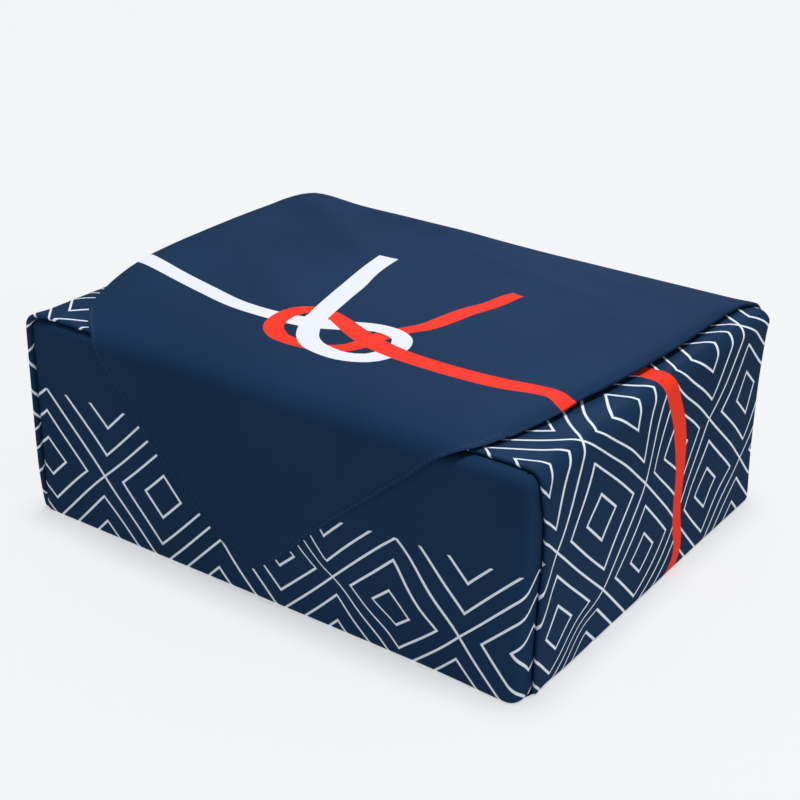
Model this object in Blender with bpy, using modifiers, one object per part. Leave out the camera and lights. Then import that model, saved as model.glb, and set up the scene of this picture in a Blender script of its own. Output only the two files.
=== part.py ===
"""A square furoshiki cloth wrapped flat round a gift carton, its last corner hanging over the front.

The cloth is one sheet. Its middle lies under the carton, and four panels rise from there. At each
corner of the carton the cloth between two panels is a gusset, creased at 45 degrees: the panel that
is folded first runs on round the corner as an ear, turns back at the crease and turns again at the
corner into the panel that is folded over it. Metres, +Z up, front at -Y.
"""

import math

import bpy
from mathutils import Vector

# The wrapped box, over its cloth
WRAP_LENGTH = 0.2575
WRAP_DEPTH = 0.2070
WRAP_HEIGHT = 0.0985

# The cloth
SHEET = 0.0010  # thickness
PITCH = 0.0015  # between the middles of neighbouring layers
CORNER_RADIUS = 0.0020  # of the block that the innermost layer wraps
OVERHANG = 0.0024  # of each fold edge past the upright corner it lies along
TOP_OVERHANG = 0.0008  # of the wings' fold edges past the front's top edge

EAR_LEAST = 0.003  # width of a gusset's ear near the bottom, where it can't follow its crease

# The carton
CARTON_GAP = 0.0008  # between its faces and the cloth round it
CARTON_SEAT = 0.0003  # above the cloth's bottom
CARTON_ROUND = 0.0030

LAYER = [SHEET / 2 + PITCH * level for level in range(5)]  # middles, out from the wrapped block
HALF_LENGTH = WRAP_LENGTH / 2 - LAYER[2] - SHEET / 2
FRONT = -(WRAP_DEPTH / 2 - SHEET)
BACK = WRAP_DEPTH / 2 - LAYER[2] - SHEET / 2
TOP = WRAP_HEIGHT - LAYER[2] - SHEET / 2
ARC = CORNER_RADIUS * math.pi / 2
WALL_TOP = TOP - CORNER_RADIUS

# Where the sheet's rows and columns lie
LEVELS = [EAR_LEAST, 0.012, 0.022, 0.034, 0.046, 0.058, 0.070, 0.082, WALL_TOP]
FACE_STEPS = [0.045, 0.12, 0.24, 0.37, 0.5, 0.63, 0.76, 0.88, 0.955]
EDGE_ARC = [0.33, 0.67, 1.0]
TURN_STEPS = 4
RETURN_STEPS = [0.0, 0.33, 0.67]
FOLD_COLUMNS = len(RETURN_STEPS) + TURN_STEPS  # the columns that a folded edge adds
GUSSET_RETURN = 10  # the column at which a gusset's return leaves its crease
WIDEST_FOLD = WALL_TOP + OVERHANG  # width of that return at the top of the walls

# The slanting folds that the side panels hang in: waves over their length and their height
SIDE_FOLDS = [
    dict(over_length=62.0, over_height=38.0, height=0.0006),
    dict(over_length=105.0, over_height=-20.0, height=0.0003),
]
SIDE_STAND = 0.0009  # how far those panels stand off the box in the middle
BELLY = 0.0009  # and the front and back panels

# The back panel past the back's top edge: how far along the cloth, its two edges in x, the width
# folded under, how much higher it lies than the layers below it, and how far the crown adds to that
FLAP = [
    dict(along=0.012, left=-0.1270, right=0.1220, fold=0.080, crown=0.0004),
    dict(along=0.035, left=-0.1268, right=0.1178, fold=0.070, crown=0.0012),
    dict(along=0.065, left=-0.1266, right=0.1160, fold=0.054, crown=0.0022),
    dict(along=0.098, left=-0.1266, right=0.1145, fold=0.036, crown=0.0030),
    dict(along=0.128, left=-0.1264, right=0.1120, fold=0.018, crown=0.0034),
    dict(along=0.150, left=-0.1235, right=0.1090, fold=0.006, crown=0.0034),
    dict(along=0.168, left=-0.1145, right=0.1060, fold=0.0, crown=0.0030),
    dict(along=0.188, left=-0.1010, right=0.1010, fold=0.0, crown=0.0022),
    dict(along=0.200, left=-0.0925, right=0.0960, fold=0.0, crown=0.0014),
    dict(along=0.2022, left=-0.0905, right=0.0945, fold=0.0, crown=0.0010),
    dict(along=0.2042, left=-0.0880, right=0.0925, fold=0.0, crown=0.0006),
    dict(along=0.212, left=-0.0785, right=0.0815, fold=0.0, crown=0.0),
    dict(along=0.224, left=-0.0690, right=0.0670, fold=0.0, crown=0.0),
    dict(along=0.241, left=-0.0530, right=0.0440, fold=0.0, crown=0.0),
    dict(along=0.256, left=-0.0375, right=0.0260, fold=0.0, crown=0.0),
    dict(along=0.270, left=-0.0225, right=0.0085, fold=0.0, crown=0.0),
    dict(along=0.278, left=-0.0130, right=-0.0005, fold=0.0, crown=0.0),
    dict(along=0.2812, left=-0.0072, right=-0.0030, fold=0.0, crown=0.0),
]
FLAP_LOW, FLAP_HIGH = LAYER[3], LAYER[4]
FLAP_ON_FRONT = LAYER[2]  # it lies nearer the front than the top, with nothing but one panel under it

# Each wing past its side's top edge
LEFT_WING = [
    dict(along=0.012, fold=0.080, rise=0.0),
    dict(along=0.040, fold=0.064, rise=0.0),
    dict(along=0.070, fold=0.046, rise=0.0),
    dict(along=0.100, fold=0.030, rise=0.0),
    dict(along=0.123, fold=0.018, rise=0.0),
]
RIGHT_WING = [
    dict(along=0.012, fold=0.080, rise=0.0),
    dict(along=0.040, fold=0.064, rise=0.0),
    dict(along=0.070, fold=0.046, rise=0.0),
    dict(along=0.100, fold=0.030, rise=0.0),
    dict(along=0.116, fold=0.0, rise=PITCH),
    dict(along=0.132, fold=0.0, rise=PITCH),
    dict(along=0.148, fold=0.0, rise=PITCH),
]

# The front panel past the front's top edge, and how far its sides draw in there
FRONT_TOP = [
    dict(along=0.020, draw=0.0015),
    dict(along=0.060, draw=0.0020),
    dict(along=0.110, draw=0.0025),
    dict(along=0.160, draw=0.0040),
    dict(along=0.194, draw=0.0330),
]


def mix(start, end, share):
    return start + (end - start) * share


def ease(value, start, end):
    """0 before start, 1 after end, smooth between."""
    share = min(max((value - start) / (end - start), 0.0), 1.0)
    return share * share * (3 - 2 * share)


class Face:
    """A side of the wrapped block: its outward normal, the way along it, and its places."""

    def __init__(self, normal, reach, span):
        self.normal = Vector((*normal, 0))
        self.along = Vector((-normal[1], normal[0], 0))
        self.reach = reach  # from the origin out to the face
        self.span = span  # from the face to the one opposite

    def over(self, along, path, offset):
        """A point off the block: path runs up this face, over the top and down the far one."""
        radius = CORNER_RADIUS
        flat_end = WALL_TOP + ARC + self.span - 2 * radius
        if path <= WALL_TOP:
            inward, height, lean = 0.0, path, 0.0
        elif path <= WALL_TOP + ARC:
            lean = (path - WALL_TOP) / radius
            inward = radius - radius * math.cos(lean)
            height = WALL_TOP + radius * math.sin(lean)
        elif path <= flat_end:
            inward, height, lean = radius + path - WALL_TOP - ARC, TOP, math.pi / 2
        elif path <= flat_end + ARC:
            lean = math.pi / 2 + (path - flat_end) / radius
            inward = self.span - radius - radius * math.cos(lean)
            height = WALL_TOP + radius * math.sin(lean)
        else:
            inward, height, lean = self.span, WALL_TOP - (path - flat_end - ARC), math.pi
        out = self.normal * math.cos(lean) + Vector((0, 0, 1)) * math.sin(lean)
        foot = self.normal * (self.reach - inward) + self.along * along
        return foot + Vector((0, 0, height)) + out * offset


DEPTH = BACK - FRONT
FRONT_FACE = Face((0, -1), -FRONT, DEPTH)
BACK_FACE = Face((0, 1), BACK, DEPTH)
RIGHT_FACE = Face((1, 0), HALF_LENGTH, 2 * HALF_LENGTH)
LEFT_FACE = Face((-1, 0), HALF_LENGTH, 2 * HALF_LENGTH)


def turn(place, low, high, reach, heading):
    """A half turn between two layers, as (along, offset) pairs from the low one to the high one."""
    middle, half = (low + high) / 2, (high - low) / 2
    for step in range(TURN_STEPS + 1):
        angle = math.pi * (step / TURN_STEPS - 0.5)
        yield place + heading * reach * math.cos(angle), middle + half * math.sin(angle)


def gusset(under, over, height):
    """The cloth round one corner at one height, from the panel below to the one folded over it."""
    radius = CORNER_RADIUS
    corner = under.normal * under.reach + over.normal * over.reach
    ear = max(height, EAR_LEAST)

    def wrapped(distance, offset):
        if distance < -ARC / 2:
            return corner - over.normal * (radius - distance - ARC / 2) + under.normal * offset
        if distance > ARC / 2:
            return corner - under.normal * (radius + distance - ARC / 2) + over.normal * offset
        angle = (distance + ARC / 2) / radius
        centre = corner - (under.normal + over.normal) * radius
        out = under.normal * math.cos(angle) + over.normal * math.sin(angle)
        return centre + out * (radius + offset)

    def beside(distance, offset):
        return corner - under.normal * distance + over.normal * offset

    edge = -OVERHANG
    crease = list(turn(ear, LAYER[0], LAYER[1], PITCH / math.sqrt(2), 1))
    fold = list(turn(edge, LAYER[1], LAYER[2], PITCH / 2, -1))
    stations = [(wrapped, share * ARC, LAYER[0]) for share in (-0.5, -1 / 6, 1 / 6, 0.5)]
    stations += [(beside, mix(radius, ear, share), LAYER[0]) for share in (0.33, 0.67)]
    stations += [(beside, *pair) for pair in crease]
    stations += [(beside, mix(ear, edge, share), LAYER[1]) for share in RETURN_STEPS[1:]]
    stations += [(beside, *pair) for pair in fold]

    up = Vector((0, 0, height))
    return [place(distance, offset) + up for place, distance, offset in stations]


def wing_offset(share):
    """The side panels lie over the front's ears, and under the back panel behind them."""
    return mix(LAYER[2], LAYER[0], ease(share, 0.5, 0.95))


def between_edges(height):
    """0 at the bottom and top of the walls, 1 halfway."""
    return math.sin(math.pi * min(max(height / WALL_TOP, 0), 1))


def wave(along, height, side):
    """The soft slanting folds of a side panel, which only stand out from the box."""
    folds = SIDE_STAND
    for fold in SIDE_FOLDS:
        phase = along * fold["over_length"] + height * fold["over_height"] + side
        folds += fold["height"] * math.sin(phase)
    return folds * between_edges(height) ** 0.5


def belly(along, height, half):
    """The front and back panels stand a little off the box in their middle."""
    return BELLY * between_edges(height) * max(1 - (along / half) ** 2, 0)


def front_row(height):
    span = HALF_LENGTH - CORNER_RADIUS
    for share in FACE_STEPS:
        along = mix(-span, span, share)
        offset = LAYER[0] + belly(along, height, span)
        yield FRONT_FACE.over(along, height, offset)


def back_row(height):
    span = HALF_LENGTH + OVERHANG
    for share in FACE_STEPS:
        along = mix(-span, span, share)
        offset = LAYER[2] + belly(along, height, span)
        yield BACK_FACE.over(along, height, offset)


def side_row(face, height, forward):
    """From the front's gusset to the back's, or the other way round."""
    for share in FACE_STEPS:
        share = share if forward else 1 - share
        y = mix(FRONT - OVERHANG, BACK - CORNER_RADIUS, share)
        offset = wing_offset(share) + wave(y, height, face.normal.x) * ease(1 - share, 0.0, 0.15)
        yield face.over(y * face.normal.x, height, offset)


def ring(height):
    """The cloth round the whole box at one height, and where each panel's columns lie in it."""
    parts = [
        ("front", list(front_row(height))),
        ("front right", gusset(FRONT_FACE, RIGHT_FACE, height)),
        ("right", list(side_row(RIGHT_FACE, height, True))),
        ("back right", gusset(RIGHT_FACE, BACK_FACE, height)),
        ("back", list(back_row(height))),
        ("back left", gusset(LEFT_FACE, BACK_FACE, height)[::-1]),
        ("left", list(side_row(LEFT_FACE, height, False))),
        ("front left", gusset(FRONT_FACE, LEFT_FACE, height)[::-1]),
    ]
    points, start = [], {}
    for name, part in parts:
        start[name] = len(points)
        points += part
    return points, start


def section(left, right, low, high, fold_left, fold_right):
    """(along, offset) across a panel on the top, from one edge to the other, with what each edge
    folds under. A fold of None leaves that edge without one."""
    pairs = []
    if fold_left is not None:
        pairs += [(mix(left + fold_left, left, share), low) for share in RETURN_STEPS]
        pairs += turn(left, low, high, PITCH / 2, -1)
    else:
        pairs.append((left, high))
    pairs += [(mix(left, right, share), high) for share in FACE_STEPS]
    if fold_right is not None:
        pairs += list(turn(right, low, high, PITCH / 2, 1))[::-1]
        pairs += [(mix(right - fold_right, right, share), low) for share in RETURN_STEPS[::-1]]
    else:
        pairs.append((right, high))
    return pairs


class Net:
    """The open sheet, as rows of vertices joined by quads."""

    def __init__(self):
        self.points, self.faces = [], []

    def row(self, points):
        start = len(self.points)
        self.points += [tuple(point) for point in points]
        return list(range(start, len(self.points)))

    def join(self, lower, upper, closed=False):
        count = len(lower)
        for step in range(count if closed else count - 1):
            after = (step + 1) % count
            self.faces.append((lower[step], lower[after], upper[after], upper[step]))

    def climb(self, row, rows):
        """Rows added one after another to the last, each with what the last one drops at its ends."""
        for points, (first, last) in rows:
            row, below = self.row(points), row[first : len(row) - last]
            self.join(below, row)


def bottom(net, row, start):
    """A grid under the carton, and a polygon at each corner that takes in the foot of its gusset."""
    half = HALF_LENGTH - CORNER_RADIUS
    across = [mix(-half, half, share) for share in FACE_STEPS]
    deep = [mix(FRONT - OVERHANG, BACK - CORNER_RADIUS, share) for share in FACE_STEPS]
    grid = [net.row([(x, y, SHEET / 2) for x in across]) for y in deep]
    for nearer, farther in zip(grid, grid[1:]):
        net.join(farther, nearer)
    sides = {
        "front": grid[0],
        "right": [line[-1] for line in grid],
        "back": grid[-1][::-1],
        "left": [line[0] for line in grid][::-1],
    }
    names = list(sides)
    for name, inner in sides.items():
        outer = row[start[name] : start[name] + len(FACE_STEPS)]
        net.join(inner, outer)
        after = names[(names.index(name) + 1) % len(names)]
        stop = start[after] or len(row)
        corner = row[start[name] + len(FACE_STEPS) - 1 : stop] + [row[start[after]], inner[-1]]
        net.faces.append(tuple(corner[::-1]))


def walls(net):
    """The bottom and the walls. Returns the top row and where each panel lies in it."""
    points, start = ring(SHEET / 2)
    rows = [net.row(points)] + [net.row(ring(height)[0]) for height in LEVELS]
    bottom(net, rows[0], start)
    for lower, upper in zip(rows, rows[1:]):
        net.join(lower, upper, closed=True)
    return rows[-1], start


def front_top(net, row, start):
    """The front panel over the top, the lowest layer there."""
    gusset_columns = start["right"] - start["front right"]
    first = start["front left"] + gusset_columns - 1
    columns = [row[first]] + row[start["front"] : start["front right"] + 1]
    half = HALF_LENGTH - CORNER_RADIUS
    rows = [(WALL_TOP + ARC * share, 0.0) for share in EDGE_ARC]
    rows += [(WALL_TOP + ARC + line["along"], line["draw"]) for line in FRONT_TOP]
    made = []
    for path, draw in rows:
        pairs = section(draw - half, half - draw, LAYER[0], LAYER[0], None, None)
        made.append(([FRONT_FACE.over(along, path, offset) for along, offset in pairs], (0, 0)))
    net.climb(columns, made)


def wing_top(net, columns, face, table):
    """A side panel over the top, folded under along the front's top edge."""
    sign = face.normal.x
    back = BACK - CORNER_RADIUS
    rows = [(WALL_TOP + ARC * share, WIDEST_FOLD, share, 0.0) for share in EDGE_ARC]
    rows += [(WALL_TOP + ARC + line["along"], line["fold"], 1.0, line["rise"]) for line in table]
    made, folded = [], True
    for path, fold, over_edge, rise in rows:
        drop = FOLD_COLUMNS if folded and not fold else 0
        folded = bool(fold)
        front = FRONT - mix(OVERHANG, TOP_OVERHANG, ease(path, WALL_TOP, TOP + 0.020))
        pairs = section(front, back, LAYER[1], LAYER[2] + rise, fold or None, None)
        main = FOLD_COLUMNS if fold else 0
        points = []
        for column, (y, offset) in enumerate(pairs):
            if column > main:
                share = (y - front) / (back - front)
                offset = mix(wing_offset(share), offset, over_edge)
            points.append(face.over(y * sign, path, offset))
        # The columns run round the box, from the front on the right and from the back on the left.
        made.append((points, (drop, 0)) if sign > 0 else (points[::-1], (0, drop)))
    net.climb(columns, made)


def flap_path(along):
    """The flap's distances are measured on the block's sharp edges; the rounded one is shorter."""
    saved = 2 * CORNER_RADIUS - ARC
    return TOP - saved / 2 + along - saved * ease(along, DEPTH - 0.004, DEPTH + 0.004)


def flap_top(net, columns):
    """The back panel over the top and down the front, to its corner."""
    edge = HALF_LENGTH + OVERHANG
    rows = [(WALL_TOP + ARC * share, -edge, edge, WIDEST_FOLD, share, 0.0) for share in EDGE_ARC]
    for line in FLAP:
        path = flap_path(line["along"])
        rows.append((path, line["left"], line["right"], line["fold"], 1.0, line["crown"]))
    made, folded = [], True
    for path, left, right, fold, over_edge, crown in rows:
        drop = FOLD_COLUMNS if folded and not fold else 0
        folded = bool(fold)
        along = path - TOP
        down = ease(along, DEPTH + 0.001, DEPTH + 0.026)
        low = mix(LAYER[1], FLAP_LOW, over_edge)
        high = mix(mix(LAYER[2], FLAP_HIGH, over_edge), FLAP_ON_FRONT, down)
        # Along the back face, x runs the other way.
        pairs = section(-right, -left, low, high, fold or None, fold or None)
        main = (FOLD_COLUMNS, len(pairs) - FOLD_COLUMNS - 1) if fold else (0, len(pairs) - 1)
        points = []
        for column, (x, offset) in enumerate(pairs):
            if main[0] < column < main[1]:
                share = (x + right) / (right - left)
                offset += crown * math.sin(math.pi * share) ** 0.6
            points.append(BACK_FACE.over(x, path, offset))
        made.append((points, (drop, drop)))
    net.climb(columns, made)


def cloth_mesh():
    net = Net()
    row, start = walls(net)
    front_top(net, row, start)
    right = row[start["front right"] + GUSSET_RETURN : start["back right"] + 1]
    wing_top(net, right, RIGHT_FACE, RIGHT_WING)
    left_end = start["back left"] + start["right"] - start["front right"] - 1
    left = row[left_end : len(row) - GUSSET_RETURN]
    wing_top(net, left, LEFT_FACE, LEFT_WING)
    back_end = start["left"] - GUSSET_RETURN
    back = row[start["back right"] + GUSSET_RETURN : back_end]
    flap_top(net, back)
    mesh = bpy.data.meshes.new("cloth")
    mesh.from_pydata(net.points, [], net.faces)
    mesh.validate()
    return mesh


def material(name, colour, roughness):
    made = bpy.data.materials.new(name)
    made.use_nodes = True
    shader = made.node_tree.nodes["Principled BSDF"]
    shader.inputs["Base Color"].default_value = (*colour, 1)
    shader.inputs["Roughness"].default_value = roughness
    shader.inputs["Metallic"].default_value = 0.0
    return made


def cloth(collection):
    """The one square of cloth, folded."""
    made = bpy.data.objects.new("cloth", cloth_mesh())
    collection.objects.link(made)
    made.data.materials.append(material("navy cloth", (0.021, 0.041, 0.102), 0.75))
    shell = made.modifiers.new("thickness", "SOLIDIFY")
    shell.thickness = SHEET
    shell.offset = 0.0
    shell.use_even_offset = True
    made.data.shade_smooth()
    made.data.set_sharp_from_angle(angle=math.radians(50))
    return made


def carton(collection):
    """The box inside, which the cloth hides."""
    bpy.ops.mesh.primitive_cube_add(size=1)
    made = bpy.context.object
    made.name = made.data.name = "carton"
    foot = SHEET + CARTON_SEAT
    head = TOP - CARTON_GAP
    size = (2 * (HALF_LENGTH - CARTON_GAP), DEPTH - 2 * CARTON_GAP, head - foot)
    for vertex in made.data.vertices:
        vertex.co = [place * length for place, length in zip(vertex.co, size)]
    made.location = (0, (FRONT + BACK) / 2, (foot + head) / 2)
    edges = made.modifiers.new("edges", "BEVEL")
    edges.width = CARTON_ROUND
    edges.segments = 2
    for parent in made.users_collection:
        parent.objects.unlink(made)
    collection.objects.link(made)
    made.data.materials.append(material("grey board", (0.55, 0.50, 0.43), 0.85))
    return made


def centre(parts):
    """Moves the parts together, so that the middle of their base is the origin."""
    bpy.context.view_layer.update()
    seen = bpy.context.evaluated_depsgraph_get()
    corners = [
        part.matrix_world @ Vector(corner) for part in parts for corner in part.evaluated_get(seen).bound_box
    ]
    low = [min(corner[axis] for corner in corners) for axis in range(3)]
    high = [max(corner[axis] for corner in corners) for axis in range(3)]
    for part in parts:
        part.location -= Vector(((low[0] + high[0]) / 2, (low[1] + high[1]) / 2, low[2]))


def main():
    for old in list(bpy.data.objects):
        bpy.data.objects.remove(old)
    collection = bpy.data.collections.new("furoshiki wrap")
    bpy.context.scene.collection.children.link(collection)
    centre([cloth(collection), carton(collection)])


main()
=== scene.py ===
import math

import bpy
import numpy as np
from mathutils import Matrix, Vector


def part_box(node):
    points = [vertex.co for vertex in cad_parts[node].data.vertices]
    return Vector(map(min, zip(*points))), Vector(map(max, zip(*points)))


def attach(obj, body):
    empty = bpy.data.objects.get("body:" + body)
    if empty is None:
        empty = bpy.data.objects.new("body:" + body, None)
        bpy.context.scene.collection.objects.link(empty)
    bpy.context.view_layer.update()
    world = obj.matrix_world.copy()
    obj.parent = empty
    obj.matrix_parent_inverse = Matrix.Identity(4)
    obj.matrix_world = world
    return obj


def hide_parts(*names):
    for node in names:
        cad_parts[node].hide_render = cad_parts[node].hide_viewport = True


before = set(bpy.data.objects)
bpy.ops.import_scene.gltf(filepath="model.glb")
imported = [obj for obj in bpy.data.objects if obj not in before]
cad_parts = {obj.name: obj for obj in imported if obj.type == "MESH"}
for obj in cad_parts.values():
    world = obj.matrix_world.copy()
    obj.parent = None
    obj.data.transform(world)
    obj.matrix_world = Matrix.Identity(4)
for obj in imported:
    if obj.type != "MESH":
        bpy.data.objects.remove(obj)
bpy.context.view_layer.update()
print("frame loaded:", ", ".join(sorted(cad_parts)))


# The camera stands in front of the wrap and to its right, a little above it
camera = dict(
    place=(0.3729, -0.5364, 0.3617),
    heading=124.735,  # of the line of sight, degrees from +X
    pitch=-25.175,
    roll=1.087,
    lens=71.18,
    sensor=36.0,
)


def makeCamera():
    heading, pitch, roll = (math.radians(camera[name]) for name in ("heading", "pitch", "roll"))
    level = Vector((math.cos(heading), math.sin(heading), 0))
    sight = level * math.cos(pitch) + Vector((0, 0, math.sin(pitch)))
    right = sight.cross(Vector((0, 0, 1))).normalized()
    up = right.cross(sight)
    rolledRight = right * math.cos(roll) + up * math.sin(roll)
    rolledUp = up * math.cos(roll) - right * math.sin(roll)
    turn = Matrix((rolledRight, rolledUp, -sight)).transposed()
    made = bpy.data.objects.new("camera", bpy.data.cameras.new("camera"))
    made.data.sensor_width = camera["sensor"]
    made.data.lens = camera["lens"]
    made.matrix_world = Matrix.Translation(camera["place"]) @ turn.to_4x4()
    bpy.context.scene.collection.objects.link(made)
    bpy.context.scene.camera = made


makeCamera()
print("camera placed")


# The cloth's layers, and the block that its innermost layer wraps
cloth = dict(
    thickness=0.0004,
    innerLayer=0.0006,  # middle of the innermost layer, out from the block
    layerPitch=0.0007,
    sideGap=0.0034,  # between the carton and the block, at the two ends
    frontGap=0.0010,
    backGap=0.0048,
    topGap=0.0020,
    edgeRadius=0.0040,  # of the block's upright and top edges
    footRadius=0.0020,  # of the turn-in along the floor
    footHeight=0.0016,
    earLeast=0.0030,  # of each gusset's ear past the fold over it
    pastCorner=0.0010,  # and of each ear past the corner's round
    floor=0.00045,  # height of the cloth's middle along the box's bottom
    side=0.700,  # of the flat square
    sharpFrom=60.0,  # degrees
)
columns = dict(
    front=80,
    side=76,
    crowd=0.55,  # how far they draw together at a panel's ends
    corner=6,  # round an upright corner
    crease=4,  # round a gusset's crease
    fold=8,  # round a folded edge
    ear=(0.12, 0.4, 0.75),  # shares of a gusset's ear
    inner=(0.4, 0.8),  # shares of the cloth folded back under a fold
    topEdge=(0.14, 0.28, 0.42, 0.56, 0.7, 0.85),  # shares of the turn over a top edge
    frontEdge=(0.22, 0.44, 0.66, 0.84),
    footHeights=(0.0007, 0.0011),
    wallStep=0.0030,
    bottomStep=4,
    bottomMargin=0.006,
)

cartonLow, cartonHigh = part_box("carton")
radius = cloth["edgeRadius"]
middleX = (cartonLow.x + cartonHigh.x) / 2
halfLength = (cartonHigh.x - cartonLow.x) / 2 + cloth["sideGap"]
front = cartonLow.y - cloth["frontGap"]
back = cartonHigh.y + cloth["backGap"]
top = cartonHigh.z + cloth["topGap"]
depth = back - front
arc = radius * math.pi / 2
wallTop = top - radius
layer = [cloth["innerLayer"] + cloth["layerPitch"] * level for level in range(5)]

# How the flat cloth lies to the box, in metres from front to back
clothPlace = dict(
    middle=0.00335,  # of the cloth, from the middle of the bottom
    backEdge=0.2083,  # the place on the cloth that lies at the back's top edge
    onTop=0.0006,  # how far the print has slipped back on the top
)


def tableOf(names, rows):
    # rows in millimetres under named columns, with the noughts at a row's end left off
    columnNames = names.split()
    return [
        {name: row[place] / 1000 if place < len(row) else 0.0 for place, name in enumerate(columnNames)}
        for row in rows
    ]


# The fold that each side panel ends in, as it climbs the wall: how far behind the corner it lies
rightFold = tableOf("along behind", [
    (0, 9.2), (20, 9.3), (43, 9.9), (62, 10.9), (74, 10.4), (83, 8.2), (89.5, 6.4), (95.5, 5.8),
    (106, 6.2), (130, 6), (250, 4)
])
backFold = tableOf("along behind", [
    (0, 1), (60, 1.4), (84, 1.2), (98.5, 4.5)
])
leftFold = tableOf("along behind", [
    (0, 1.8), (10, 0.4), (26, -0.6), (46, -0.8), (89.7, -0.6), (107.7, 1.4)
])
folds = dict(
    rightPuff=0.0010,
    leftPuff=0.0013,
    topPuff=0.0005,
    backPuff=0.0006,
    puffWidth=0.0060,
    settles=(0.5, 0.95),  # the shares of a side panel between which it comes a layer nearer to the box
)

# How far the right wall's back end, its foot and the front's right foot stand out
rightFlare = tableOf("along out", [
    (0, 1), (30, 0.6), (55, 0.4), (84, 1.4), (98, 3.4)
])
flareFrom = 0.55  # the share of the right wall's length where it begins to stand out
footFlare = dict(side=0.0010, sideRise=0.12, front=0.0019, height=0.018, length=0.030)
squareness = dict(right=2.6, left=5.0, back=5.0)  # of the upright corners: 2 is round

# Undulations of the side panels, in radians a metre along and up them, which only stand out from the box
sideWaves = [
    dict(overLength=62.0, overHeight=38.0, height=0.0005),
    dict(overLength=105.0, overHeight=-20.0, height=0.0003),
]
waveEnds = dict(front=0.05, back=0.15)  # the shares of a panel in which they fade
stand = dict(side=0.0003, front=0.0006, back=0.0006)

# The back panel past the back's top edge, from the fold over that edge to its hanging corner
flapRows = tableOf("along left right fold crown leftLift rightLift", [
    (0, -121.8, 122.2, 88, 0.6), (9.6, -125, 119.4, 83, 1.6, 2.2, 0.8),
    (31.6, -128.8, 118.4, 72, 2.6, 4.4, 1.4), (61.6, -129.6, 118.4, 56, 2.8, 4.6, 1.8),
    (99.6, -129.6, 116.6, 36, 3, 4, 2.2), (125.6, -128.8, 114, 20, 3.2, 3.2, 2.2),
    (143.6, -126.6, 111.6, 10, 3.4, 2.2, 1.8), (157.6, -123.4, 111, 3, 3.4, 1.2, 1.4),
    (169.6, -119, 109, 0, 3.4, 0.6, 1), (180.6, -114, 106.6, 0, 3.2, 0.3, 0.6),
    (191.6, -106.3, 104.2, 0, 2.6, 0, 0.3), (201.6, -96.3, 99.7, 0, 1.2), (204.6, -90.4, 94.5, 0, 0.6),
    (208.8, -86.8, 86.2), (212.5, -84, 82.4), (218, -79.5, 76.5), (224, -75.2, 69.4),
    (233.4, -68, 58.9), (240, -62, 51.3), (244.9, -57.7, 45.6), (250, -52.6, 39.8), (256, -46.2, 33.6),
    (262.3, -39.4, 26.5), (270, -29.7, 19.9), (274.5, -23.9, 14.8), (278.5, -18.2, 10.1),
    (282, -12.5, 5.5), (284.5, -7.5, 2.2), (286.2, -4, -1)
])
flap = dict(
    rowStep=0.0030,
    foldEnd=0.186,  # past this it has a hem and no fold
    closing=0.060,  # the fold flattens over this length before its end
    puff=0.0005,
    shoulders=(0.014, 0.0055),  # how far in from its left and right edges it reaches its full height
    leftLiftWidth=0.020,
    rightLiftWidth=0.030,
    underLift=0.8,  # the share of an edge's lift that the cloth folded under it takes
    closedGap=0.00048,  # from that cloth to the top one where the fold has closed
    foldEndWidth=0.00024,  # how much wider than the hem the fold ends
    foldEndLength=0.014,
    onFront=0.00154,  # over the front panel
    comesDown=(0.001, 0.030),  # past the front edge
    tipCurl=0.0006,
    tipCurlLength=0.045,
    hemWidth=0.0026,
    hemRise=0.00035,
    hemStep=(-0.0006, 0.0004),  # where it steps down, about its width
    hemStart=0.004,  # it grows over this length on both sides of the fold's end
    stitchLine=0.0017,
    hemColumns=(0.0006, 0.0014, 0.0022, 0.0028, 0.0036, 0.0050),
    hemColumnShare=0.4,  # of the flap's width, the most that these take up
    leastFold=0.003,
    start=0.004,  # of its rows on the top, from the back edge
    backEdge=(-0.002, 0.010),  # it takes its own outline between these
    frontEdge=0.006,
    bend=(-0.012, 0.016),  # finer rows about the front edge
    bendStep=0.0014,
    frontStep=0.0022,
    creaseStart=0.004,
    creaseTaper=(-0.35, 0.3),  # shares of a crease's length over which each end fades
)

# Soft ridges in the flap: from and to x and the distance from the top's back edge
flapCreases = tableOf("fromX fromAlong toX toAlong width height", [
    (40, 18, 105, 26, 7, 1), (-80, 105, -20, 150, 12, 1), (-10, 30, 85, 50, 7, 1),
    (-100, 6, -10, 8, 9, 1.9), (30, 70, 100, 62, 7, 0.8), (-100, 30, -50, 60, 9, 1.1),
    (-124, 4, -100, 30, 16, 3)
])

# How the wings lie on the top: how deep their edge is folded under, and their rise past that fold's end
wingFold = [(0, 88), (40, 64), (70, 46), (100, 30)]
leftWing = dict(
    rows=tableOf("along fold rise", wingFold + [(123, 18)]),
    foldEnd=0.130,
    reach=0.123,
)
rightWing = dict(
    rows=tableOf("along fold rise", wingFold + [(116, 0, 1), (148, 0, 1)]),
    foldEnd=0.108,
    reach=0.148,
)
wingTop = dict(fineStep=0.0025, fineLength=0.045, coarseStep=0.008, leastFold=0.004)
frontTop = dict(reach=0.194, rowStep=0.010, draw=0.0025, drawn=0.2, lastDraw=0.033, lastDrawFrom=0.8)


def mix(start, end, share):
    return start + (end - start) * share


def ease(value, start, end):
    share = min(max((value - start) / (end - start), 0.0), 1.0)
    return share * share * (3 - 2 * share)


def hump(value, width):
    return math.exp(-((value / width) ** 2))


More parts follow.
